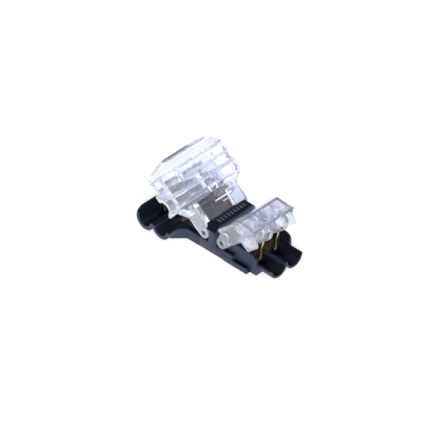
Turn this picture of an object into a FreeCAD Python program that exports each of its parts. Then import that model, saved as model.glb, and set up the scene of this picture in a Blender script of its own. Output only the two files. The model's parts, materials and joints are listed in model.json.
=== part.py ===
"""Two-pole T-tap wire connector: base, bridge, two hinged clear lids and two brass contacts.

Frame: millimetres, +Z up, origin in the middle of the base's underside. The through wires lie
along Y in the head, at the -X end; the branch wires lie along X in the stem, at the +X end.
"""
import FreeCAD
import Part
import os
import re
import Sketcher

SIZES = {
    # overall
    "body_length": 34.0, "head_width": 20.8, "stem_width": 10.8, "axis_height": 2.55,
    # small allowances: how far a cut runs past the part, an overlap, a joined skin
    "past": 1.0, "lap": 0.1, "sliver": 0.001, "mate_gap": 0.1, "fit_gap": 0.05,
    # head of the base
    "head_lobe": 2.5, "head_trough": 1.6, "head_pitch": 4.65, "spout_depth": 1.5,
    "end_wall": 0.8, "end_wall_rise": 1.9, "end_wall_foot": 0.6, "end_wall_round": 1.8,
    "round_spare": 0.414,
    "neck_step": 3.15, "neck_top": 4.2, "taper_start": 1.45, "taper_end": 3.95,
    # stem of the base
    "stem_pitch": 4.65, "stem_lobe": 2.55, "spout_wall": 0.5, "wall_height": 5.0,
    "stem_spout": 3.7, "stem_wall": 0.6, "stem_stop": 5.4, "wall_round": 1.5,
    # side block and catch lip, one on each side of the stem
    "side_step": 1.0, "block_length": 2.5, "lip_back": 5.5, "lip_wall": 0.4, "lip_top": 1.4,
    "lip_floor": 0.25, "lip_proud": 0.1,
    # bridge
    "bridge_left": -2.4, "bridge_right": 4.8, "cheek_top": 5.2, "cheek_bevel": 0.5,
    "pocket_floor": 2.5, "column_left": 0.35, "column_right": 2.45, "bar_left": -0.3,
    "bar_right": 2.35, "bar_top": 7.05, "bar_bevel": 1.3, "bar_rise": 0.4, "deck_rim": 0.375,
    "rib_count": 9, "rib_step": 0.95, "rib_rise": 0.12, "rib_half": 0.18, "rib_inset": 0.8,
    # hinges
    "hinge_height": 4.09, "head_hinge": -1.14, "stem_hinge": 4.1, "pin_radius": 0.5,
    "pin_play": 0.05, "ear_radius": 1.35, "ear_wall": 0.65, "head_open": 39.0, "stem_open": 42.0,
    # head lid, closed
    "head_roof": 6.3, "nose_reach": 1.7, "nose_foot": 0.5, "nose_half": 5.3, "nose_drop": 0.9,
    "nose_rim": 4.6, "lid_shell": 2.4, "lid_back": 0.9, "band_start": 0.95,
    "band_end": 2.65, "band_top": 5.8, "band_skin": 1.0, "plate_right": -2.45,
    "plate_top": 7.4, "plate_skin": 1.1, "plate_bevel": 0.8, "arm_low": 2.65, "arm_start": 0.4,
    "arm_lean": 0.45, "arm_rise": 0.85, "web_skin": 0.6, "window_start": 2.55,
    "window_inner": 0.45, "window_outer": 4.8, "window_deep": 1.3, "slot_spare": 0.35,
    # dimples in the head lid's roof
    "dimple_radius": 0.32, "dimple_deep": 0.5, "dimple_count": 8, "dimple_step": 1.48,
    "dimple_offset": 0.95, "dimple_gap": 1.15,
    # stem lid, closed
    "stem_roof": 7.1, "stem_skin": 0.8, "roof_start": 0.65, "roof_back": 4.4, "hood_back": 0.7,
    "hood_low": 3.5, "hood_lip": 1.0, "side_low": 2.8, "side_back": 1.7, "side_end": 0.9,
    "side_wall": 0.5, "cheek_low": 1.2, "cheek_high": 2.5, "cheek_reach": 3.1,
    "tube_radius": 1.95, "tube_bore": 1.3, "tube_left": 7.6, "tube_back": 2.3,
    "spine_half": 0.8, "spine_back": 3.8, "tab_back": 2.4, "tab_length": 4.0, "tab_low": 0.35,
    "tab_ramp": 0.4, "tab_round": 0.6, "slot_left": 1.2, "slot_right": 0.4,
    # contacts
    "strip_half": 1.5, "strip_thick": 0.4, "strip_floor": 0.4, "groove_spare": 0.7,
    "blade_top": 5.7, "blade_back": 5.5, "head_blade_top": 4.6, "head_blade_half": 1.3,
    "throat": 0.6, "lead_in": 1.1, "slot_root": 1.6, "lead_deep": 1.6,
}

PLACES = {
    "left_end": "-body_length / 2", "right_end": "body_length / 2",
    "head_half": "head_width / 2", "stem_half": "stem_width / 2",
    "side_half": "stem_half + side_step", "block_half": "head_half - spout_depth",
    "outer_wire": "left_end + head_lobe", "inner_wire": "outer_wire + head_pitch",
    "branch": "stem_pitch / 2", "spout_left": "right_end - stem_spout",
    "cavity_half": "stem_half - stem_wall", "stem_trough": "stem_lobe - spout_wall",
    "neck_left": "inner_wire + neck_step", "neck_half": "stem_half - lap",
    "taper_left": "inner_wire + taper_start", "taper_right": "inner_wire + taper_end",
    "wall_top": "axis_height + end_wall_rise", "mate": "axis_height + mate_gap",
    "block_right": "bridge_right + block_length", "lip_right": "right_end - lip_back",
    "lip_half": "side_half + lip_proud", "lip_inner": "lip_half - lip_wall",
    "deck": "strip_floor + strip_thick", "deck_half": "branch + strip_half + deck_rim",
    "slot_half": "strip_half + fit_gap", "strip_top": "strip_floor + strip_thick",
    "blade_right": "right_end - blade_back", "blade_left": "blade_right - strip_thick",
    "fork_near": "branch + strip_half", "fork_far": "fork_near + strip_thick",
    "ear_inner": "side_half - ear_wall", "ear_outer": "side_half - fit_gap",
    "lid_nose": "left_end - nose_reach", "nose_corner": "left_end + nose_foot",
    "wall_shoulder": "wall_top - end_wall_round + round_spare * (end_wall_round + mate_gap)",
    "wall_crown": "head_half - end_wall_round + round_spare * (end_wall_round + mate_gap)",
    "lid_left": "left_end + end_wall + 2 * mate_gap",
    "lid_right": "neck_left - lid_back", "lid_step": "lid_left + 5 * mate_gap",
    "band_left": "inner_wire + band_start", "band_right": "inner_wire + band_end",
    "band_low": "band_top - band_skin", "plate_low": "plate_top - plate_skin",
    "arm_left": "neck_left + lap", "arm_right": "taper_right + arm_start",
    "window_left": "inner_wire - window_start", "dimple_row": "outer_wire - dimple_offset",
    "lid_side": "lip_inner - mate_gap", "lid_inner": "lid_side - side_wall",
    "roof_left": "stem_hinge + roof_start", "roof_right": "right_end - roof_back",
    "roof_low": "stem_roof - stem_skin", "hood_tip": "right_end - hood_back",
    "side_right": "right_end - side_back", "tube_right": "right_end - tube_back",
    "spine_right": "right_end - spine_back", "tab_right": "right_end - tab_back",
    "tab_left": "tab_right - tab_length",
}


def expand(text):
    """Turn short names into sheet references, opening up the worked-out places."""
    def swap(match):
        name = match.group(0)
        if name in PLACES:
            return "(" + expand(PLACES[name]) + ")"
        return "sizes." + name if name in SIZES else name
    return re.sub(r"[a-z_]+", swap, str(text))


def make_sheet(doc):
    """Write every driving size to its own aliased cell."""
    sheet = doc.addObject("Spreadsheet::Sheet", "sizes")
    for row, (name, value) in enumerate(SIZES.items(), start=1):
        sheet.set("A%d" % row, name)
        sheet.set("B%d" % row, str(value))
        sheet.setAlias("B%d" % row, name)
    doc.recompute()
    return sheet


class Piece:
    """A PartDesign body whose prisms take their corners as expressions on the sheet."""

    def __init__(self, doc, sheet, label, hinge=None):
        self.doc = doc
        self.sheet = sheet
        self.hinge = hinge
        self.body = doc.addObject("PartDesign::Body", label)
        self.count = 0

    def value(self, text):
        return float(self.sheet.evalExpression(expand(text)))

    def local(self, text, axis):
        """A closed-lid coordinate seen from the piece's own hinge axis."""
        if self.hinge is None or axis == "Y":
            return expand(text)
        centre = self.hinge if axis == "X" else "hinge_height"
        return expand("(%s) - (%s)" % (text, centre))

    def bind(self, sketch, constraint, text):
        index = sketch.addConstraint(constraint)
        sketch.setExpression("Constraints[%d]" % index, text)

    def pin_point(self, sketch, geometry, point, place):
        for kind, text in zip(("DistanceX", "DistanceY"), place):
            start = float(self.sheet.evalExpression(text))
            self.bind(sketch, Sketcher.Constraint(kind, -1, 1, geometry, point, start), text)

    def polygon(self, sketch, corners):
        first = sketch.GeometryCount
        spots = []
        for corner in corners:
            spots.append([float(self.sheet.evalExpression(text)) for text in corner])
        for start, end in zip(spots, spots[1:] + spots[:1]):
            sketch.addGeometry(Part.LineSegment(FreeCAD.Vector(*start), FreeCAD.Vector(*end)))
        for step in range(len(corners)):
            after = first + (step + 1) % len(corners)
            sketch.addConstraint(Sketcher.Constraint("Coincident", first + step, 2, after, 1))
        for step, corner in enumerate(corners):
            self.pin_point(sketch, first + step, 1, corner)

    def circle(self, sketch, centre, radius):
        spot = [float(self.sheet.evalExpression(text)) for text in centre]
        size = self.value(radius)
        index = sketch.addGeometry(Part.Circle(FreeCAD.Vector(*spot), FreeCAD.Vector(0, 0, 1), size))
        self.pin_point(sketch, index, 3, centre)
        self.bind(sketch, Sketcher.Constraint("Radius", index, size), expand(radius))

    def sketch(self, plane, loops, offset):
        """Loops are corner lists, or (x, y, radius) for a circle, in world directions."""
        self.count += 1
        drawing = self.body.newObject("Sketcher::SketchObject", "%s_sketch" % self.body.Name)
        home = next(item for item in self.body.Origin.OriginFeatures if item.Role == plane + "_Plane")
        drawing.AttachmentSupport = (home, [""])
        drawing.MapMode = "FlatFace"
        drawing.setExpression("AttachmentOffset.Base.z", offset)
        for loop in loops:
            if isinstance(loop, tuple):
                centre = [self.local(loop[0], plane[0]), self.local(loop[1], plane[1])]
                self.circle(drawing, centre, loop[2])
            else:
                corners = []
                for corner in loop:
                    corners.append([self.local(corner[0], plane[0]), self.local(corner[1], plane[1])])
                self.polygon(drawing, corners)
        return drawing

    def prism(self, plane, loops, near, far, cut=False):
        """Add or cut a straight prism between two coordinates along the plane's normal."""
        axis = {"XY": "Z", "XZ": "Y", "YZ": "X"}[plane]
        near = self.local(near, axis)
        far = self.local(far, axis)
        before = self.body.Shape.Volume if self.body.Tip else 0.0
        offset = "-(%s)" % far if plane == "XZ" else near
        drawing = self.sketch(plane, loops, offset)
        kind = "PartDesign::Pocket" if cut else "PartDesign::Pad"
        feature = self.body.newObject(kind, "%s_cut" % self.body.Name if cut else "%s_add" % self.body.Name)
        feature.Profile = drawing
        feature.Reversed = cut
        feature.setExpression("Length", "(%s) - (%s)" % (far, near))
        self.doc.recompute()
        change = self.body.Shape.Volume - before
        if (change >= -1e-6) if cut else (change <= 1e-6):
            raise RuntimeError("%s changed nothing" % feature.Name)
        return feature

    def add(self, plane, loops, near, far):
        return self.prism(plane, loops, near, far)

    def cut(self, plane, loops, near, far):
        return self.prism(plane, loops, near, far, cut=True)

    def dress(self, kind, size_name, size, chosen):
        """Fillet or chamfer the edges whose middle point passes a test on world coordinates."""
        tip = self.body.Tip
        names = []
        for index, edge in enumerate(tip.Shape.Edges, start=1):
            middle = edge.valueAt((edge.FirstParameter + edge.LastParameter) / 2)
            spot = self.world(middle)
            if chosen(spot, edge):
                names.append("Edge%d" % index)
        if not names:
            raise RuntimeError("%s: no edge to dress" % self.body.Name)
        feature = self.body.newObject(kind, "%s_dress" % self.body.Name)
        feature.Base = (tip, names)
        feature.setExpression(size_name, expand(size))
        self.doc.recompute()
        if "Invalid" in feature.State or "Error" in feature.State:
            raise RuntimeError("%s failed on %s" % (feature.Name, names))
        return feature

    def fillet(self, size, chosen):
        return self.dress("PartDesign::Fillet", "Radius", size, chosen)

    def chamfer(self, size, chosen):
        return self.dress("PartDesign::Chamfer", "Size", size, chosen)

    def world(self, spot):
        if self.hinge is None:
            return spot
        return spot + FreeCAD.Vector(self.value(self.hinge), 0, self.value("hinge_height"))

    def hang(self, angle, side):
        """Place a piece modelled about its hinge axis, swung open by a sheet angle."""
        self.body.Placement.Rotation = FreeCAD.Rotation(FreeCAD.Vector(0, side, 0), 1.0)
        self.body.setExpression("Placement.Base.x", expand(self.hinge))
        self.body.setExpression("Placement.Base.z", expand("hinge_height"))
        self.body.setExpression("Placement.Rotation.Angle", expand(angle))


def rectangle(left, low, right, high):
    return [(left, low), (right, low), (right, high), (left, high)]


def along(edge, axis):
    """True for an edge that runs along the given axis, "x", "y" or "z", at its start."""
    return abs(getattr(edge.tangentAt(edge.FirstParameter), axis)) > 0.99


def near(first, second):
    return abs(first - second) < 0.01


def both_sides(inner, outer):
    """The same span on the -Y side and on the +Y side."""
    return (("-(%s)" % outer, "-(%s)" % inner), (inner, outer))


def make_base(doc, sheet):
    """Black housing: twin lobed head, walled stem, side catches and contact grooves."""
    piece = Piece(doc, sheet, "base_housing")
    base_head(piece)
    base_stem(piece)
    base_catches(piece)
    base_grooves(piece)
    base_troughs(piece)
    base_seat(piece)
    end, height = piece.value("spout_left"), piece.value("wall_height")
    piece.fillet("wall_round", lambda spot, edge: along(edge, "y") and near(spot.x, end)
                 and near(spot.z, height))
    return piece


def base_head(piece):
    """Two lobes under the through wires, a taper towards the stem and a rounded end wall."""
    piece.add("XY", [[("outer_wire", "-block_half"), ("taper_left", "-block_half"),
                      ("taper_right", "-side_half"), ("taper_right", "side_half"),
                      ("taper_left", "block_half"), ("outer_wire", "block_half")]],
              "0", "axis_height")
    for wire in ("outer_wire", "inner_wire"):
        piece.add("XZ", [(wire, "axis_height", "head_lobe - sliver")], "-head_half", "head_half")
    piece.cut("XZ", [rectangle("left_end - past", "axis_height", "taper_right",
                               "axis_height + head_lobe + past")],
              "-head_half - past", "head_half + past")
    piece.add("XZ", [rectangle("left_end", "axis_height - end_wall_foot", "left_end + end_wall",
                               "wall_top")], "-head_half", "head_half")
    inside, top = piece.value("left_end + end_wall"), piece.value("wall_top")
    piece.fillet("end_wall_round", lambda spot, edge: along(edge, "x") and near(spot.z, top)
                 and spot.x < inside)
    piece.add("XY", [rectangle("taper_right - past", "-side_half", "block_right", "side_half")],
              "0", "axis_height")
    piece.add("XZ", [rectangle("neck_left", "0", "bridge_left", "neck_top")],
              "-neck_half", "neck_half")


def base_stem(piece):
    """Upright walls round the contact blades, then two half-round spouts."""
    piece.add("XZ", [rectangle("bridge_right", "0", "spout_left", "wall_height")],
              "-stem_half", "stem_half")
    for side in ("branch", "-branch"):
        piece.add("YZ", [(side, "axis_height", "stem_lobe - sliver")],
                  "spout_left - past", "right_end")
    piece.cut("YZ", [rectangle("-stem_half - past", "axis_height", "stem_half + past",
                               "axis_height + stem_lobe + past")],
              "spout_left", "right_end + past")


def base_catches(piece):
    """A low lip runs on from the side block, one on each side, and takes the lid's tab."""
    floor = rectangle("block_right - past", "0", "lip_right", "lip_floor")
    lip = rectangle("bridge_right", "0", "lip_right", "lip_top")
    for low, high in both_sides("stem_half - 5 * lap", "lip_half"):
        piece.add("XZ", [floor], low, high)
    for low, high in both_sides("lip_inner", "lip_half"):
        piece.add("XZ", [lip], low, high)


def base_grooves(piece):
    """Grooves for the contacts' strips, and slits for their head forks."""
    for side, wire, sign in (("-branch", "outer_wire", -1), ("branch", "inner_wire", 1)):
        piece.cut("XY", [rectangle("%s - head_blade_half - fit_gap" % wire, "%s - slot_half" % side,
                                   "blade_right + fit_gap", "%s + slot_half" % side)],
                  "strip_floor", "strip_top + groove_spare")
        low, high = both_sides("fork_near - sliver", "fork_far + fit_gap + sliver")[sign > 0]
        piece.cut("XZ", [rectangle("%s - head_blade_half - fit_gap" % wire, "strip_floor",
                                   "%s + head_blade_half + fit_gap" % wire, "axis_height + past")],
                  low, high)


def base_troughs(piece):
    """Half-round beds for the four wires, and the stem's open cavity."""
    for wire in ("outer_wire", "inner_wire"):
        piece.cut("XZ", [(wire, "axis_height", "head_trough")], "-head_half", "head_half")
    for side in ("branch", "-branch"):
        piece.cut("YZ", [(side, "axis_height", "stem_trough")], "stem_stop", "right_end")
    piece.cut("YZ", [rectangle("-cavity_half", "axis_height", "cavity_half", "wall_height + past")],
              "stem_stop", "right_end")


def base_seat(piece):
    """The bridge's seat: a low deck over the strips, open at both sides."""
    piece.cut("XZ", [rectangle("bridge_left", "deck", "bridge_right", "wall_height + past")],
              "-head_half", "head_half")
    for low, high in both_sides("deck_half", "side_half + past"):
        piece.cut("XZ", [rectangle("bridge_left", "-past", "bridge_right", "deck + past")], low, high)


def make_bridge(doc, sheet):
    """Black saddle over the base's deck, with the raised bar and the four hinge pins."""
    piece = Piece(doc, sheet, "hinge_bridge")
    left, right = "bridge_left + fit_gap", "bridge_right - fit_gap"
    foot = "pocket_floor - lap"
    piece.add("XZ", [rectangle(left, "fit_gap", right, "pocket_floor")], "-side_half", "side_half")
    piece.add("XZ", [[(left, foot), (right, foot), (right, "cheek_top - cheek_bevel"),
                      (right + " - cheek_bevel", "cheek_top"),
                      (left + " + cheek_bevel", "cheek_top"),
                      (left, "cheek_top - cheek_bevel")]], "-stem_half", "stem_half")
    piece.add("XZ", [rectangle("column_left", foot, "column_right", "cheek_top + bar_rise + lap")],
              "-side_half", "side_half")
    piece.add("XZ", [rectangle("bar_left", "cheek_top - lap", "bar_right", "bar_top")],
              "-stem_half", "stem_half")
    piece.add("XZ", [rectangle("bar_left", "cheek_top + bar_rise", "bar_right", "bar_top")],
              "-side_half", "side_half")
    piece.cut("YZ", [rectangle("-deck_half - fit_gap", "-past", "deck_half + fit_gap", "deck")],
              "bridge_left - past", "bridge_right + past")
    top, half = piece.value("bar_top"), piece.value("side_half")
    piece.chamfer("bar_bevel", lambda spot, edge: along(edge, "x") and near(spot.z, top)
                  and near(abs(spot.y), half))
    for step in range(SIZES["rib_count"]):
        middle = "(%d - (rib_count - 1) / 2) * rib_step" % step
        piece.add("XZ", [rectangle("bar_left + rib_inset", "bar_top - lap", "bar_right - rib_inset",
                                   "bar_top + rib_rise")],
                  middle + " - rib_half", middle + " + rib_half")
    for hinge in ("head_hinge", "stem_hinge"):
        piece.add("XZ", [(hinge, "hinge_height", "pin_radius")], "-side_half + lap", "side_half - lap")
    return piece


def add_ears(piece, hinge):
    """Two discs round the hinge pins."""
    for low, high in both_sides("ear_inner", "ear_outer"):
        piece.add("XZ", [(hinge, "hinge_height", "ear_radius")], low, high)


def drill_eyes(piece, hinge):
    for low, high in both_sides("ear_inner - 5 * lap", "ear_outer + 5 * lap"):
        piece.cut("XZ", [(hinge, "hinge_height", "pin_radius + pin_play")], low, high)


def make_head_lid(doc, sheet):
    """Clear lid over both through wires, modelled shut about its hinge and hung open."""
    piece = Piece(doc, sheet, "head_lid", "head_hinge")
    piece.add("XZ", [rectangle("lid_left", "mate", "lid_right", "head_roof")],
              "-block_half", "block_half")
    for wire in ("outer_wire", "inner_wire"):
        for low, high in both_sides("block_half - lap", "head_half"):
            piece.add("XZ", [(wire, "axis_height", "lid_shell")], low, high)
    piece.cut("XZ", [rectangle("left_end - past", "-past", "lid_right + past", "mate")],
              "-head_half - past", "head_half + past")
    head_lid_nose(piece)
    head_lid_arms(piece)
    head_lid_windows(piece)
    head_lid_beds(piece)
    drill_eyes(piece, "head_hinge")
    piece.hang("head_open", 1)
    return piece


def head_lid_nose(piece):
    """The overhanging nose, with sloped ends, hollowed to clear the base's end wall."""
    piece.add("XY", [[("nose_corner", "-head_half"), ("lid_nose", "-nose_half"),
                      ("lid_nose", "nose_half"), ("nose_corner", "head_half"),
                      ("lid_step", "head_half"), ("lid_step", "-head_half")]],
              "mate", "head_roof")
    for sign in ("-", ""):
        slope = [("%snose_half" % sign, "head_roof"), ("%shead_half" % sign, "nose_rim"),
                 ("%s(head_half + past)" % sign, "nose_rim"),
                 ("%s(head_half + past)" % sign, "head_roof + past"),
                 ("%snose_half" % sign, "head_roof + past")]
        piece.cut("YZ", [slope], "lid_nose - past", "lid_step")
    hollow = [("head_half + mate_gap", "mate - past"), ("head_half + mate_gap", "wall_shoulder"),
              ("wall_crown", "wall_top + mate_gap")]
    mirrored = [("-(%s)" % y, z) for y, z in reversed(hollow)]
    piece.cut("YZ", [hollow + mirrored], "left_end - mate_gap", "lid_left")
    nose, roof = piece.value("lid_nose"), piece.value("head_roof")
    piece.chamfer("nose_drop", lambda spot, edge: near(spot.z, roof) and near(spot.x, nose))


def head_lid_arms(piece):
    """Webs, arms and eyes at the sides, the marked band and the flat plate between them."""
    shoulder = "plate_top - plate_bevel"
    for sign in ("-", ""):
        web = [("lid_right - lap", "block_half - web_skin"), ("arm_right", "side_half"),
               ("arm_right", "ear_inner"), ("lid_right - lap", "ear_inner")]
        piece.add("XY", [[(x, "%s(%s)" % (sign, y)) for x, y in web]], "arm_low", "band_top")
    for low, high in both_sides("ear_inner", "ear_outer"):
        piece.add("XZ", [[("arm_left", "arm_low"), ("head_hinge", "hinge_height - ear_radius"),
                          ("head_hinge + arm_lean", "hinge_height + arm_rise"),
                          ("plate_right", shoulder), ("arm_left", shoulder)]], low, high)
    add_ears(piece, "head_hinge")
    piece.add("XZ", [rectangle("lid_right - lap", "band_low", "band_right + web_skin", "band_top")],
              "-side_half", "side_half")
    piece.add("XZ", [rectangle("band_right", "plate_low", "plate_right", "plate_top")],
              "-ear_outer", "ear_outer")
    piece.add("XZ", [rectangle("band_right", "band_low", "band_right + band_skin", "plate_top - lap")],
              "-ear_outer", "ear_outer")
    piece.cut("XZ", [rectangle("band_left", "band_top", "band_right", "plate_top + past")],
              "-block_half - past", "block_half + past")
    top, half = piece.value("plate_top"), piece.value("ear_outer")
    piece.chamfer("plate_bevel", lambda spot, edge: along(edge, "x") and near(spot.z, top)
                  and near(abs(spot.y), half))


def head_lid_windows(piece):
    """Two windows and two rows of dimples in the roof."""
    for low, high in both_sides("window_inner", "window_outer"):
        piece.cut("XZ", [rectangle("window_left", "head_roof - window_deep", "band_left + sliver",
                                   "head_roof + past")], low, high)
    dimples = []
    for row in ("dimple_row", "dimple_row + dimple_gap"):
        for step in range(SIZES["dimple_count"]):
            across = "(%d - (dimple_count - 1) / 2) * dimple_step" % step
            dimples.append((row, across, "dimple_radius"))
    piece.cut("XY", dimples, "head_roof - dimple_deep", "head_roof + past")


def head_lid_beds(piece):
    """The upper half of the through wires' beds, and slots for the head forks' tips."""
    for wire in ("outer_wire", "inner_wire"):
        piece.cut("XZ", [(wire, "axis_height", "head_trough")], "-head_half", "head_half")
    sides = both_sides("fork_near - slot_spare", "fork_far + slot_spare")
    for wire, (low, high) in zip(("outer_wire", "inner_wire"), sides):
        piece.cut("XZ", [rectangle("%s - head_blade_half - slot_spare" % wire, "mate - past",
                                   "%s + head_blade_half + slot_spare" % wire,
                                   "head_blade_top + slot_spare")], low, high)


def make_stem_lid(doc, sheet):
    """Clear lid over both branch wires, with wire tubes, side tabs and a sloping hood."""
    piece = Piece(doc, sheet, "stem_lid", "stem_hinge")
    piece.add("XZ", [[("roof_left", "roof_low"), ("roof_right - lap", "roof_low"),
                      ("hood_tip - hood_lip", "hood_low"), ("hood_tip", "hood_low"),
                      ("roof_right", "stem_roof"), ("roof_left + lap", "stem_roof")]],
              "-lid_side", "lid_side")
    for low, high in both_sides("lid_inner", "lid_side"):
        stem_lid_side(piece, low, high)
    for low, high in both_sides("ear_inner", "ear_outer"):
        piece.add("XZ", [[("stem_hinge - ear_radius", "hinge_height - 5 * lap"),
                          ("stem_hinge - side_end", "side_low + lap"),
                          ("stem_hinge + 2 * side_end", "side_low"),
                          ("stem_hinge + cheek_reach", "hinge_height + ear_radius"),
                          ("stem_hinge + 2 * side_end", "roof_low"),
                          ("stem_hinge - side_end", "hinge_height + side_end")]], low, high)
    add_ears(piece, "stem_hinge")
    stem_lid_tubes(piece)
    drill_eyes(piece, "stem_hinge")
    piece.hang("stem_open", -1)
    return piece


def stem_lid_side(piece, low, high):
    """One side wall, with the tab that reaches down into the base's lip."""
    eaves = "stem_roof - lap"
    piece.add("XZ", [[("stem_hinge + 5 * lap", "side_low"), ("side_right", "side_low"),
                      ("side_right", "hood_low + side_end"), ("roof_right", eaves),
                      ("stem_hinge + cheek_high", eaves),
                      ("stem_hinge - 5 * lap", "hinge_height + cheek_low")]], low, high)
    piece.add("XZ", [[("tab_left - tab_ramp", "side_low + lap"), ("tab_left + lap", "tab_low"),
                      ("tab_right - tab_round", "tab_low"), ("tab_right", "tab_low + tab_round"),
                      ("tab_right", "side_low + lap")]], low, high)


def stem_lid_tubes(piece):
    """Tubes that hold the branch wires, spines up to the roof, bores and blade slots."""
    for side in ("branch", "-branch"):
        piece.add("YZ", [(side, "axis_height", "tube_radius")], "tube_left", "tube_right")
        piece.add("XZ", [rectangle("tube_left", "axis_height + tube_bore + lap", "spine_right",
                                   "roof_low + lap")], "%s - spine_half" % side,
                  "%s + spine_half" % side)
    for side in ("branch", "-branch"):
        piece.cut("YZ", [(side, "axis_height", "tube_bore")], "tube_left - past", "hood_tip + past")
        low, high = "%s - slot_half - lap" % side, "%s + slot_half + lap" % side
        piece.cut("XY", [rectangle("tube_left - past", low, "blade_left", high)],
                  "0", "strip_top + 3 * lap")
        piece.cut("XY", [rectangle("blade_left - slot_left", low, "blade_right + slot_right", high)],
                  "0", "blade_top + 2 * lap")


def fork(piece, plane, middle, half, top, low, high):
    """A blade with a splayed mouth and a narrow slot that bites through the insulation."""
    rise = [(half, "strip_floor"), (half, top), ("lead_in", top),
            ("throat / 2", "%s - lead_deep" % top), ("throat / 2", "slot_root")]
    right = [("%s + %s" % (middle, across), z) for across, z in rise]
    left = [("%s - %s" % (middle, across), z) for across, z in reversed(rise)]
    piece.add(plane, [right + left], low, high)


def make_contact(doc, sheet, label, side, wire, sign):
    """One brass strip with a fork across the branch wire and one across the through wire."""
    piece = Piece(doc, sheet, label)
    piece.add("XY", [rectangle("%s - head_blade_half" % wire, "%s - strip_half" % side,
                               "blade_right", "%s + strip_half" % side)], "strip_floor", "strip_top")
    fork(piece, "YZ", side, "strip_half", "blade_top", "blade_left", "blade_right")
    low, high = both_sides("fork_near - sliver", "fork_far")[sign > 0]
    fork(piece, "XZ", wire, "head_blade_half", "head_blade_top", low, high)
    return piece


def check_document(doc):
    """Stop if any object failed to recompute or any body lacks one valid solid."""
    for item in doc.Objects:
        if "Invalid" in item.State or "Error" in item.State:
            raise RuntimeError("%s: %s" % (item.Name, item.State))
        if item.TypeId == "PartDesign::Body":
            shape = item.Shape
            if shape.isNull() or not shape.isValid() or len(shape.Solids) != 1:
                raise RuntimeError("%s has no single valid solid (%d)" % (item.Label, len(shape.Solids)))


def report(piece):
    """Print where the piece reaches, in millimetres."""
    box = piece.body.Shape.BoundBox
    reach = (box.XMin, box.XMax, box.YMin, box.YMax, box.ZMin, box.ZMax)
    print(piece.body.Label, [round(value, 2) for value in reach])


def main():
    doc = FreeCAD.newDocument("t_tap_connector")
    sheet = make_sheet(doc)
    pieces = [
        make_base(doc, sheet),
        make_bridge(doc, sheet),
        make_head_lid(doc, sheet),
        make_stem_lid(doc, sheet),
        make_contact(doc, sheet, "pole_1_contact", "-branch", "outer_wire", -1),
        make_contact(doc, sheet, "pole_2_contact", "branch", "inner_wire", 1),
    ]
    doc.recompute()
    check_document(doc)
    os.makedirs("parts", exist_ok=True)
    for piece in pieces:
        piece.body.Shape.exportStep("parts/%s.step" % piece.body.Label)
        report(piece)


main()
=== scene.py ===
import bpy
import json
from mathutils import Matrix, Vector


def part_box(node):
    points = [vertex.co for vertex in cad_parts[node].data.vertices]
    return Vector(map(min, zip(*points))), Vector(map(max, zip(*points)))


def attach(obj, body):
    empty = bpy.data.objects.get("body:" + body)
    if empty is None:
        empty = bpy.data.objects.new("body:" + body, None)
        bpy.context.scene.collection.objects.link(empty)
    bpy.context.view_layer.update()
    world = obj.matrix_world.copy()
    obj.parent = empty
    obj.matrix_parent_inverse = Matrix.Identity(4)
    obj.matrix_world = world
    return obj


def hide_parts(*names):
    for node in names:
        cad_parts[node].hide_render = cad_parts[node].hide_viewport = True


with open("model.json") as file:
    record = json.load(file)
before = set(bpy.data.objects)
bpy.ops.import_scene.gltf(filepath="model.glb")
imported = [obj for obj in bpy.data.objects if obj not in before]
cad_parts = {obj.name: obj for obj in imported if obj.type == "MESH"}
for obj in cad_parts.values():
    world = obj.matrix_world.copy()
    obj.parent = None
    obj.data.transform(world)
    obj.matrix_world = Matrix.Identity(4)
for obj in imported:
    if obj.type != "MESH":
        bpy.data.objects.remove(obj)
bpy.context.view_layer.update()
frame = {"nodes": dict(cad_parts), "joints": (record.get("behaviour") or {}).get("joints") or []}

import json
import math

import bpy
from mathutils import Matrix, Vector

MM = 0.001
BASE, HEAD, STEM = "base", "head_cover", "stem_cover"

# Sizes in millimetres. Those of a lid are in its closed place.

SAME_CORNER = 0.002
SHELL_EDGE = 0.14
SADDLE_EDGE = 0.12
BLADE_EDGE = 0.03
LID_EDGE = 0.14

HEAD_TROUGHS_END = -5.0
HEAD_TROUGH_MIDDLE = -12.0
BLADE_FOOT_TOP = 0.9
RIB_CROWN = 0.1

BAND_START = -8.95
PLATE_FLOOR = 4.7
PLATE_HALF = 5.5
WINDOW_START = -12.3
WINDOW_END = -8.9
WINDOW_INNER = 0.5
WINDOW_OUTER = 4.75
WINDOW_LOW = 4.9
WINDOW_HIGH = 5.1

NUMERAL_HEIGHT = 1.7
NUMERAL_RISE = 0.08
NUMERAL_ROUND = 0.02
NUMERAL_X = -8.05
NUMERAL_Z = 5.86
NUMERAL_PLACES = {"1": 0.1, "2": 2.0}

BEAD_RISE = 0.16
BEAD_PITCH = 0.55
BEADS_MIDDLE = 0.9
BEADS_Z = 7.42
LONG_ROW_X, LONG_ROW_COUNT, LONG_ROW_RADIUS = -5.3, 9, 0.19
SHORT_ROW_X, SHORT_ROW_COUNT, SHORT_ROW_RADIUS = -4.4, 3, 0.15

RIB_COUNT = 4
RIB_PITCH = 0.75
RIB_START, RIB_END = 11.75, 12.03
RIB_LOW, RIB_HIGH = 0.45, 3.0
TAB_FACE, RIB_FACE = 5.95, 6.12
RIB_ROUND = 0.06


# Shader arithmetic

MIX_FIRST, MIX_SECOND, MIX_COLOUR = 6, 7, 2


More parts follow.
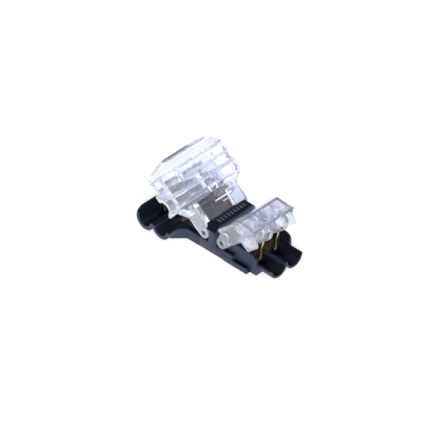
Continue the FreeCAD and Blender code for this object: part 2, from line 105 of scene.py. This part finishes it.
class Value:
    """A node's output that does arithmetic: an expression adds its Math nodes."""

    def __init__(self, tree, socket):
        self.tree = tree
        self.socket = socket

    @classmethod
    def node(cls, tree, kind, settings=None, inputs=None, output=0):
        """Adds one node: settings first, then a value or a link for each named input."""
        made = tree.nodes.new(kind)
        for name, setting in (settings or {}).items():
            setattr(made, name, setting)
        for name, given in (inputs or {}).items():
            if isinstance(given, Value):
                tree.links.new(given.socket, made.inputs[name])
            else:
                made.inputs[name].default_value = given
        return cls(tree, made.outputs[output]) if made.outputs else None

    def math(self, operation, first, second):
        return Value.node(self.tree, "ShaderNodeMath", {"operation": operation},
                          {0: first, 1: second})

    def __add__(self, other):
        return self.math("ADD", self, other)

    def __radd__(self, other):
        return self.math("ADD", other, self)

    def __sub__(self, other):
        return self.math("SUBTRACT", self, other)

    def __rsub__(self, other):
        return self.math("SUBTRACT", other, self)

    def __mul__(self, other):
        return self.math("MULTIPLY", self, other)

    def __rmul__(self, other):
        return self.math("MULTIPLY", other, self)


def noise(tree, size, detail=3.0, stretch=(1, 1, 1)):
    """Noise on Object coordinates, from 0 to 1, with features about size millimetres across."""
    where = Value.node(tree, "ShaderNodeTexCoord", output="Object")
    placed = Value.node(tree, "ShaderNodeMapping", {}, {"Vector": where, "Scale": stretch})
    return Value.node(tree, "ShaderNodeTexNoise", {}, {
        "Vector": placed, "Scale": 1 / (size * MM), "Detail": detail, "Roughness": 0.55})


def blend(tree, mask, low, high):
    """A colour between low and high."""
    return Value.node(tree, "ShaderNodeMix", {"data_type": "RGBA"}, {
        "Factor": mask, MIX_FIRST: (*low, 1), MIX_SECOND: (*high, 1)}, MIX_COLOUR)


def bump(tree, height, depth, strength=1.0):
    """A normal from a height, with depth in millimetres."""
    return Value.node(tree, "ShaderNodeBump", {}, {
        "Height": height, "Distance": depth * MM, "Strength": strength})


def material(name):
    """A new material with no nodes yet, and its node tree."""
    made = bpy.data.materials.new(name)
    made.use_nodes = True
    made.node_tree.nodes.clear()
    return made, made.node_tree


def principled(tree, inputs):
    return Value.node(tree, "ShaderNodeBsdfPrincipled", {}, inputs)


def show(tree, surface):
    Value.node(tree, "ShaderNodeOutputMaterial", {}, {"Surface": surface})


# Kinds of finish

def nylon(name, dark, light, rough, shine):
    """Moulded black nylon: a fine matt grain, cloudy gloss and a cool sheen."""
    made, tree = material(name)
    cloud = noise(tree, 1.8)
    grain = noise(tree, 0.09, 5.0)
    scuff = noise(tree, 0.5, 4.0, (1.0, 0.2, 1.0))
    show(tree, principled(tree, {
        "Base Color": blend(tree, cloud * 0.7 + scuff * 0.3, dark, light),
        "Roughness": rough + 0.16 * (cloud - 0.5) + 0.14 * (scuff - 0.5),
        "Normal": bump(tree, grain * 0.7 + scuff * 0.3, 0.012, 0.6),
        "IOR": 1.5, "Specular IOR Level": shine, "Specular Tint": (0.6, 0.72, 1.0, 1)}))
    return made


def clear(name, tint, rough, ripple, through):
    """Clear polycarbonate: flow ripples from the mould, faint haze, lamps shine through it."""
    made, tree = material(name)
    flow = noise(tree, 2.6, 2.0, (1.0, 0.6, 1.0))
    pits = noise(tree, 0.35, 3.0)
    paler = tuple(min(1.0, part + 0.03) for part in tint)
    glass = principled(tree, {
        "Base Color": blend(tree, flow, tint, paler), "Roughness": rough + 0.05 * pits,
        "Normal": bump(tree, flow * 0.8 + pits * 0.2, ripple),
        "IOR": 1.5, "Transmission Weight": through})
    to_lamp = Value.node(tree, "ShaderNodeLightPath", output="Is Shadow Ray")
    open_way = Value.node(tree, "ShaderNodeBsdfTransparent", {}, {"Color": (0.93, 0.94, 0.98, 1)})
    show(tree, Value.node(tree, "ShaderNodeMixShader", {}, {0: to_lamp, 1: glass, 2: open_way}))
    return made


def brass_strip(name, bright, dull, rough):
    """Rolled brass strip: fine lines along the rolling direction and tarnish clouds."""
    made, tree = material(name)
    lines = noise(tree, 0.06, 3.0, (0.15, 1.0, 0.15))
    tarnish = noise(tree, 1.1)
    show(tree, principled(tree, {
        "Base Color": blend(tree, tarnish, bright, dull), "Metallic": 1.0,
        "Roughness": rough + 0.12 * lines + 0.12 * tarnish,
        "Normal": bump(tree, lines, 0.004, 0.5)}))
    return made


def paper(name):
    """Pale studio paper with a hardly visible tooth."""
    made, tree = material(name)
    tooth = noise(tree, 1.5, 4.0)
    show(tree, principled(tree, {
        "Base Color": blend(tree, tooth, (0.92, 0.92, 0.92), (0.94, 0.94, 0.94)),
        "Roughness": 0.9, "Specular IOR Level": 0.1,
        "Emission Strength": 0.55, "Emission Color": (1.0, 1.0, 1.0, 1)}))
    return made


# Making pieces

def nothing_selected():
    if bpy.context.object and bpy.context.object.mode != "OBJECT":
        bpy.ops.object.mode_set(mode="OBJECT")
    bpy.ops.object.select_all(action="DESELECT")


def pick(piece):
    nothing_selected()
    piece.select_set(True)
    bpy.context.view_layer.objects.active = piece


def link(piece):
    bpy.context.scene.collection.objects.link(piece)


def smooth(piece, angle):
    pick(piece)
    bpy.ops.object.shade_smooth_by_angle(angle=math.radians(angle))


def modify(piece, kind, **settings):
    """Adds a modifier, sets it and applies it."""
    pick(piece)
    modifier = piece.modifiers.new(kind, kind)
    for name, setting in settings.items():
        setattr(modifier, name, setting)
    bpy.ops.object.modifier_apply(modifier=modifier.name)


def dress(piece, coat, body):
    """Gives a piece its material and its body."""
    piece.data.materials.clear()
    piece.data.materials.append(coat)
    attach(piece, body)


def moulded(node, name, coat, body, edge, segments=2):
    """A CAD node's own shape, with its flat faces made whole and its sharp edges rounded over."""
    piece = bpy.data.objects.new(name, frame["nodes"][node].data.copy())
    link(piece)
    pick(piece)
    bpy.ops.object.mode_set(mode="EDIT")
    bpy.ops.mesh.select_all(action="SELECT")
    bpy.ops.mesh.remove_doubles(threshold=SAME_CORNER * MM)
    bpy.ops.mesh.dissolve_limited(angle_limit=math.radians(0.6))
    bpy.ops.object.mode_set(mode="OBJECT")
    modify(piece, "BEVEL", width=edge * MM, segments=segments, limit_method="ANGLE",
           angle_limit=math.radians(32), use_clamp_overlap=True, miter_outer="MITER_ARC")
    smooth(piece, 28)
    dress(piece, coat, body)
    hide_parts(node)
    return piece


def second_coat(piece, coat, chosen):
    """Gives the chosen faces of a piece their own finish."""
    piece.data.materials.append(coat)
    for face in piece.data.polygons:
        if chosen(face):
            face.material_index = len(piece.data.materials) - 1


def swung(joint_name):
    """Turns a lid's closed place into its open one."""
    joint = next(each for each in frame["joints"] if each["name"] == joint_name)
    pivot = Vector(joint["pos_m"])
    turn = Matrix.Rotation(-math.radians(joint["range_deg"][0]), 4, Vector(joint["axis"]))
    return Matrix.Translation(pivot) @ turn @ Matrix.Translation(-pivot)


def settle(piece, place):
    """Moves the place of a piece into its mesh, so that its object sits at the origin."""
    piece.data.transform(place @ piece.matrix_basis)
    piece.matrix_basis = Matrix.Identity(4)


def numeral(text, across):
    """A raised numeral on the head lid's marked band, which reads along +Y."""
    nothing_selected()
    bpy.ops.object.text_add(location=Vector((NUMERAL_X, across, NUMERAL_Z)) * MM,
                            rotation=(0, 0, math.pi / 2))
    piece = bpy.context.object
    piece.data.body = text
    piece.data.size = NUMERAL_HEIGHT * MM
    piece.data.extrude = NUMERAL_RISE * MM
    piece.data.align_x = "CENTER"
    piece.data.align_y = "CENTER"
    piece.data.bevel_depth = NUMERAL_ROUND * MM
    pick(piece)
    bpy.ops.object.convert(target="MESH")
    piece = bpy.context.object
    piece.name = "pole_number_" + text
    return piece


def bead(spot, radius):
    """One raised bead with a rounded rim, at a spot in millimetres."""
    nothing_selected()
    bpy.ops.mesh.primitive_cylinder_add(vertices=16, radius=radius * MM, depth=BEAD_RISE * MM,
                                        location=Vector(spot) * MM)
    piece = bpy.context.object
    modify(piece, "BEVEL", width=BEAD_RISE * 0.4 * MM, segments=2, limit_method="ANGLE",
           angle_limit=math.radians(50))
    return piece


def bar_between(low, high, round_off):
    """A rounded bar that fills the box from low to high, in millimetres."""
    nothing_selected()
    middle = [(a + b) / 2 * MM for a, b in zip(low, high)]
    bpy.ops.mesh.primitive_cube_add(size=1, location=middle)
    piece = bpy.context.object
    piece.scale = [(b - a) * MM for a, b in zip(low, high)]
    bpy.ops.object.transform_apply(location=False, rotation=False, scale=True)
    modify(piece, "BEVEL", width=round_off * MM, segments=2, limit_method="ANGLE")
    return piece


def row(piece, count, step):
    """A piece and its copies, each with its own mesh, one step in millimetres apart."""
    pieces = [piece]
    for place in range(1, count):
        again = piece.copy()
        again.data = piece.data.copy()
        again.location = piece.location + Vector(step) * MM * place
        link(again)
        pieces.append(again)
    return pieces


def bead_row(x, count, radius):
    """A row of beads along +Y, with its middle at the middle of the plate's marks."""
    start = BEADS_MIDDLE - (count - 1) / 2 * BEAD_PITCH
    return row(bead((x, start, BEADS_Z), radius), count, (0, BEAD_PITCH, 0))


def joined(pieces, name):
    """Several meshes made one piece."""
    nothing_selected()
    for piece in pieces:
        piece.select_set(True)
    bpy.context.view_layer.objects.active = pieces[0]
    bpy.ops.object.join()
    made = bpy.context.object
    made.name = name
    pick(made)
    bpy.ops.object.transform_apply(location=True, rotation=True, scale=True)
    smooth(made, 35)
    return made


# Faces with a finish of their own; the darker nylon on inside and upward faces and the darker
# brass on the blades' wide faces are painted shade, the lighter nylon on the rib tops is painted
# highlight

def painted_shade_faces(face):
    """Faces of the troughs, grooves and pockets, and those that look up: they get a darker copy of
    the nylon, painted shade.
    """
    in_head = face.center.x < HEAD_TROUGHS_END * MM
    along = face.center.x - HEAD_TROUGH_MIDDLE * MM if in_head else 0
    away = Vector((along, face.center.y, 0))
    return face.normal.z > 0.35 or away.dot(face.normal) < -0.4 * MM


def shaded_blade_face(face):
    """The blades' wide faces, which keep the strip's rougher rolled skin and get much darker brass
    as painted shade.
    """
    across = face.normal.x if face.center.x > 0 else face.normal.y
    return abs(across) > 0.95 and face.center.z > BLADE_FOOT_TOP * MM


def highlit_rib_crown(face):
    """The tops of the ribs on the bar, which get a lighter copy of the nylon as a painted
    highlight.
    """
    return face.center.z > BAR_TOP - RIB_CROWN * MM


def on_plate(face):
    """The head lid's flat plate and marked band."""
    spot = HEAD_SHUT @ face.center / MM
    return spot.x > BAND_START and spot.z > PLATE_FLOOR and abs(spot.y) < PLATE_HALF


def in_window(face):
    """The floors of the head lid's two windows."""
    spot = HEAD_SHUT @ face.center / MM
    return (WINDOW_START < spot.x < WINDOW_END and WINDOW_INNER < abs(spot.y) < WINDOW_OUTER
            and WINDOW_LOW < spot.z < WINDOW_HIGH)


# Finishes

SATIN = nylon("black_nylon_satin", dark=(0.008, 0.012, 0.026), light=(0.018, 0.025, 0.050),
              rough=0.36, shine=0.5)
# A darker copy of the same nylon: painted shade for the troughs, pockets and faces that look up.
PAINTED_SHADE_NYLON = nylon("black_nylon_painted_shade", dark=(0.003, 0.004, 0.007), light=(0.006, 0.008, 0.014),
               rough=0.30, shine=0.22)
# A lighter copy of the same nylon: a painted highlight for the tops of the bar's ribs.
PAINTED_HIGHLIGHT_NYLON = nylon("black_nylon_painted_highlight", dark=(0.05, 0.055, 0.075), light=(0.17, 0.185, 0.22),
               rough=0.34, shine=0.5)
CLEAR = clear("clear_haze", tint=(0.84, 0.87, 0.96), rough=0.04, ripple=0.07, through=0.84)
POLISHED = clear("clear_polished", tint=(0.85, 0.87, 0.94), rough=0.02, ripple=0.02, through=0.96)
RIPPLED = clear("clear_rippled", tint=(0.88, 0.90, 0.97), rough=0.03, ripple=0.14, through=0.92)
MOTTLED = clear("clear_mottled", tint=(0.60, 0.64, 0.76), rough=0.12, ripple=0.16, through=0.80)
FROSTED = clear("frosted_marks", tint=(0.92, 0.93, 0.97), rough=0.45, ripple=0.02, through=0.2)
BRASS = brass_strip("stamped_brass", bright=(0.70, 0.50, 0.20), dull=(0.52, 0.34, 0.12), rough=0.2)
# Much darker brass for the blades' wide faces: painted shade, with the rougher rolled skin.
SHADED_BRASS = brass_strip("brass_face_painted_shade", bright=(0.13, 0.10, 0.06), dull=(0.05, 0.045, 0.035),
                     rough=0.3)


# Base, bridge, contacts and lids

BAR_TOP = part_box("hinge_bridge")[1].z
HEAD_OPEN = swung("head_lid_hinge")
HEAD_SHUT = HEAD_OPEN.inverted()
STEM_OPEN = swung("stem_lid_hinge")

shell = moulded("base_housing", "housing_shell", SATIN, BASE, SHELL_EDGE)
saddle = moulded("hinge_bridge", "bridge_saddle", SATIN, BASE, SADDLE_EDGE)
# The troughs, pockets and upward faces take the darker nylon: painted shade.
second_coat(shell, PAINTED_SHADE_NYLON, painted_shade_faces)
second_coat(saddle, PAINTED_SHADE_NYLON, painted_shade_faces)
# The rib tops take the lighter nylon: a painted highlight.
second_coat(saddle, PAINTED_HIGHLIGHT_NYLON, highlit_rib_crown)

for pole in ("pole_1", "pole_2"):
    blades = moulded(pole + "_contact", pole + "_blades", BRASS, BASE, BLADE_EDGE, 1)
    # The blades' wide faces take the darker brass: painted shade.
    second_coat(blades, SHADED_BRASS, shaded_blade_face)

head_cover = moulded("head_lid", "head_lid_clear", CLEAR, HEAD, LID_EDGE)
second_coat(head_cover, POLISHED, on_plate)
second_coat(head_cover, MOTTLED, in_window)
moulded("stem_lid", "stem_lid_clear", RIPPLED, STEM, LID_EDGE)


# Marks on the lids

for text, across in NUMERAL_PLACES.items():
    mark = numeral(text, across)
    settle(mark, HEAD_OPEN)
    dress(mark, FROSTED, HEAD)

beads = joined(bead_row(LONG_ROW_X, LONG_ROW_COUNT, LONG_ROW_RADIUS)
               + bead_row(SHORT_ROW_X, SHORT_ROW_COUNT, SHORT_ROW_RADIUS), "plate_beads")
settle(beads, HEAD_OPEN)
dress(beads, FROSTED, HEAD)

for side, name in ((-1, "tab_ribs_near"), (1, "tab_ribs_far")):
    inner, outer = sorted((side * TAB_FACE, side * RIB_FACE))
    rib = bar_between((RIB_START, inner, RIB_LOW), (RIB_END, outer, RIB_HIGH), RIB_ROUND)
    ribs = joined(row(rib, RIB_COUNT, (RIB_PITCH, 0, 0)), name)
    settle(ribs, STEM_OPEN)
    dress(ribs, RIPPLED, STEM)


# Floor, light and camera

def lamp(name, spot, size, power, colour=(1, 1, 1)):
    """A soft square lamp that faces the object."""
    light = bpy.data.lights.new(name, "AREA")
    light.shape = "SQUARE"
    light.size = size
    light.energy = power
    light.color = colour
    holder = bpy.data.objects.new(name, light)
    link(holder)
    holder.location = spot
    holder.rotation_euler = (-Vector(spot)).to_track_quat("-Z", "Y").to_euler()


def camera_at(target, direction, distance, lens):
    """A camera that looks at a target in millimetres, from metres away."""
    camera = bpy.data.cameras.new("camera")
    camera.type = "PERSP"
    camera.sensor_width = 36.0
    camera.lens = lens
    camera.clip_start = 0.01
    eye = bpy.data.objects.new("camera", camera)
    link(eye)
    towards = Vector(direction).normalized()
    eye.location = Vector(target) * MM + towards * distance
    eye.rotation_euler = towards.to_track_quat("Z", "Y").to_euler()
    bpy.context.scene.camera = eye


nothing_selected()
bpy.ops.mesh.primitive_plane_add(size=3.0, location=(0, 0, -0.02 * MM))
floor = bpy.context.object
floor.name = "studio_floor"
floor.data.materials.append(paper("studio_paper"))

world = bpy.data.worlds.new("studio")
bpy.context.scene.world = world
world.use_nodes = True
sky = world.node_tree.nodes["Background"].inputs
sky["Color"].default_value = (0.93, 0.95, 1.0, 1)
sky["Strength"].default_value = 0.25

lamp("key_softbox", spot=(0.50, -0.48, 0.16), size=0.35, power=6.4)
lamp("fill_softbox", spot=(-0.55, -0.15, 0.45), size=0.3, power=0.8, colour=(0.93, 0.95, 1.0))
lamp("back_softbox", spot=(0.1, 0.5, 0.5), size=0.25, power=0.6)

camera_at(target=(-4.003, 0.129, 3.622), direction=(0.5439, -0.5642, 0.6211),
          distance=1.008, lens=398.3)
bpy.context.scene.view_settings.view_transform = "Standard"
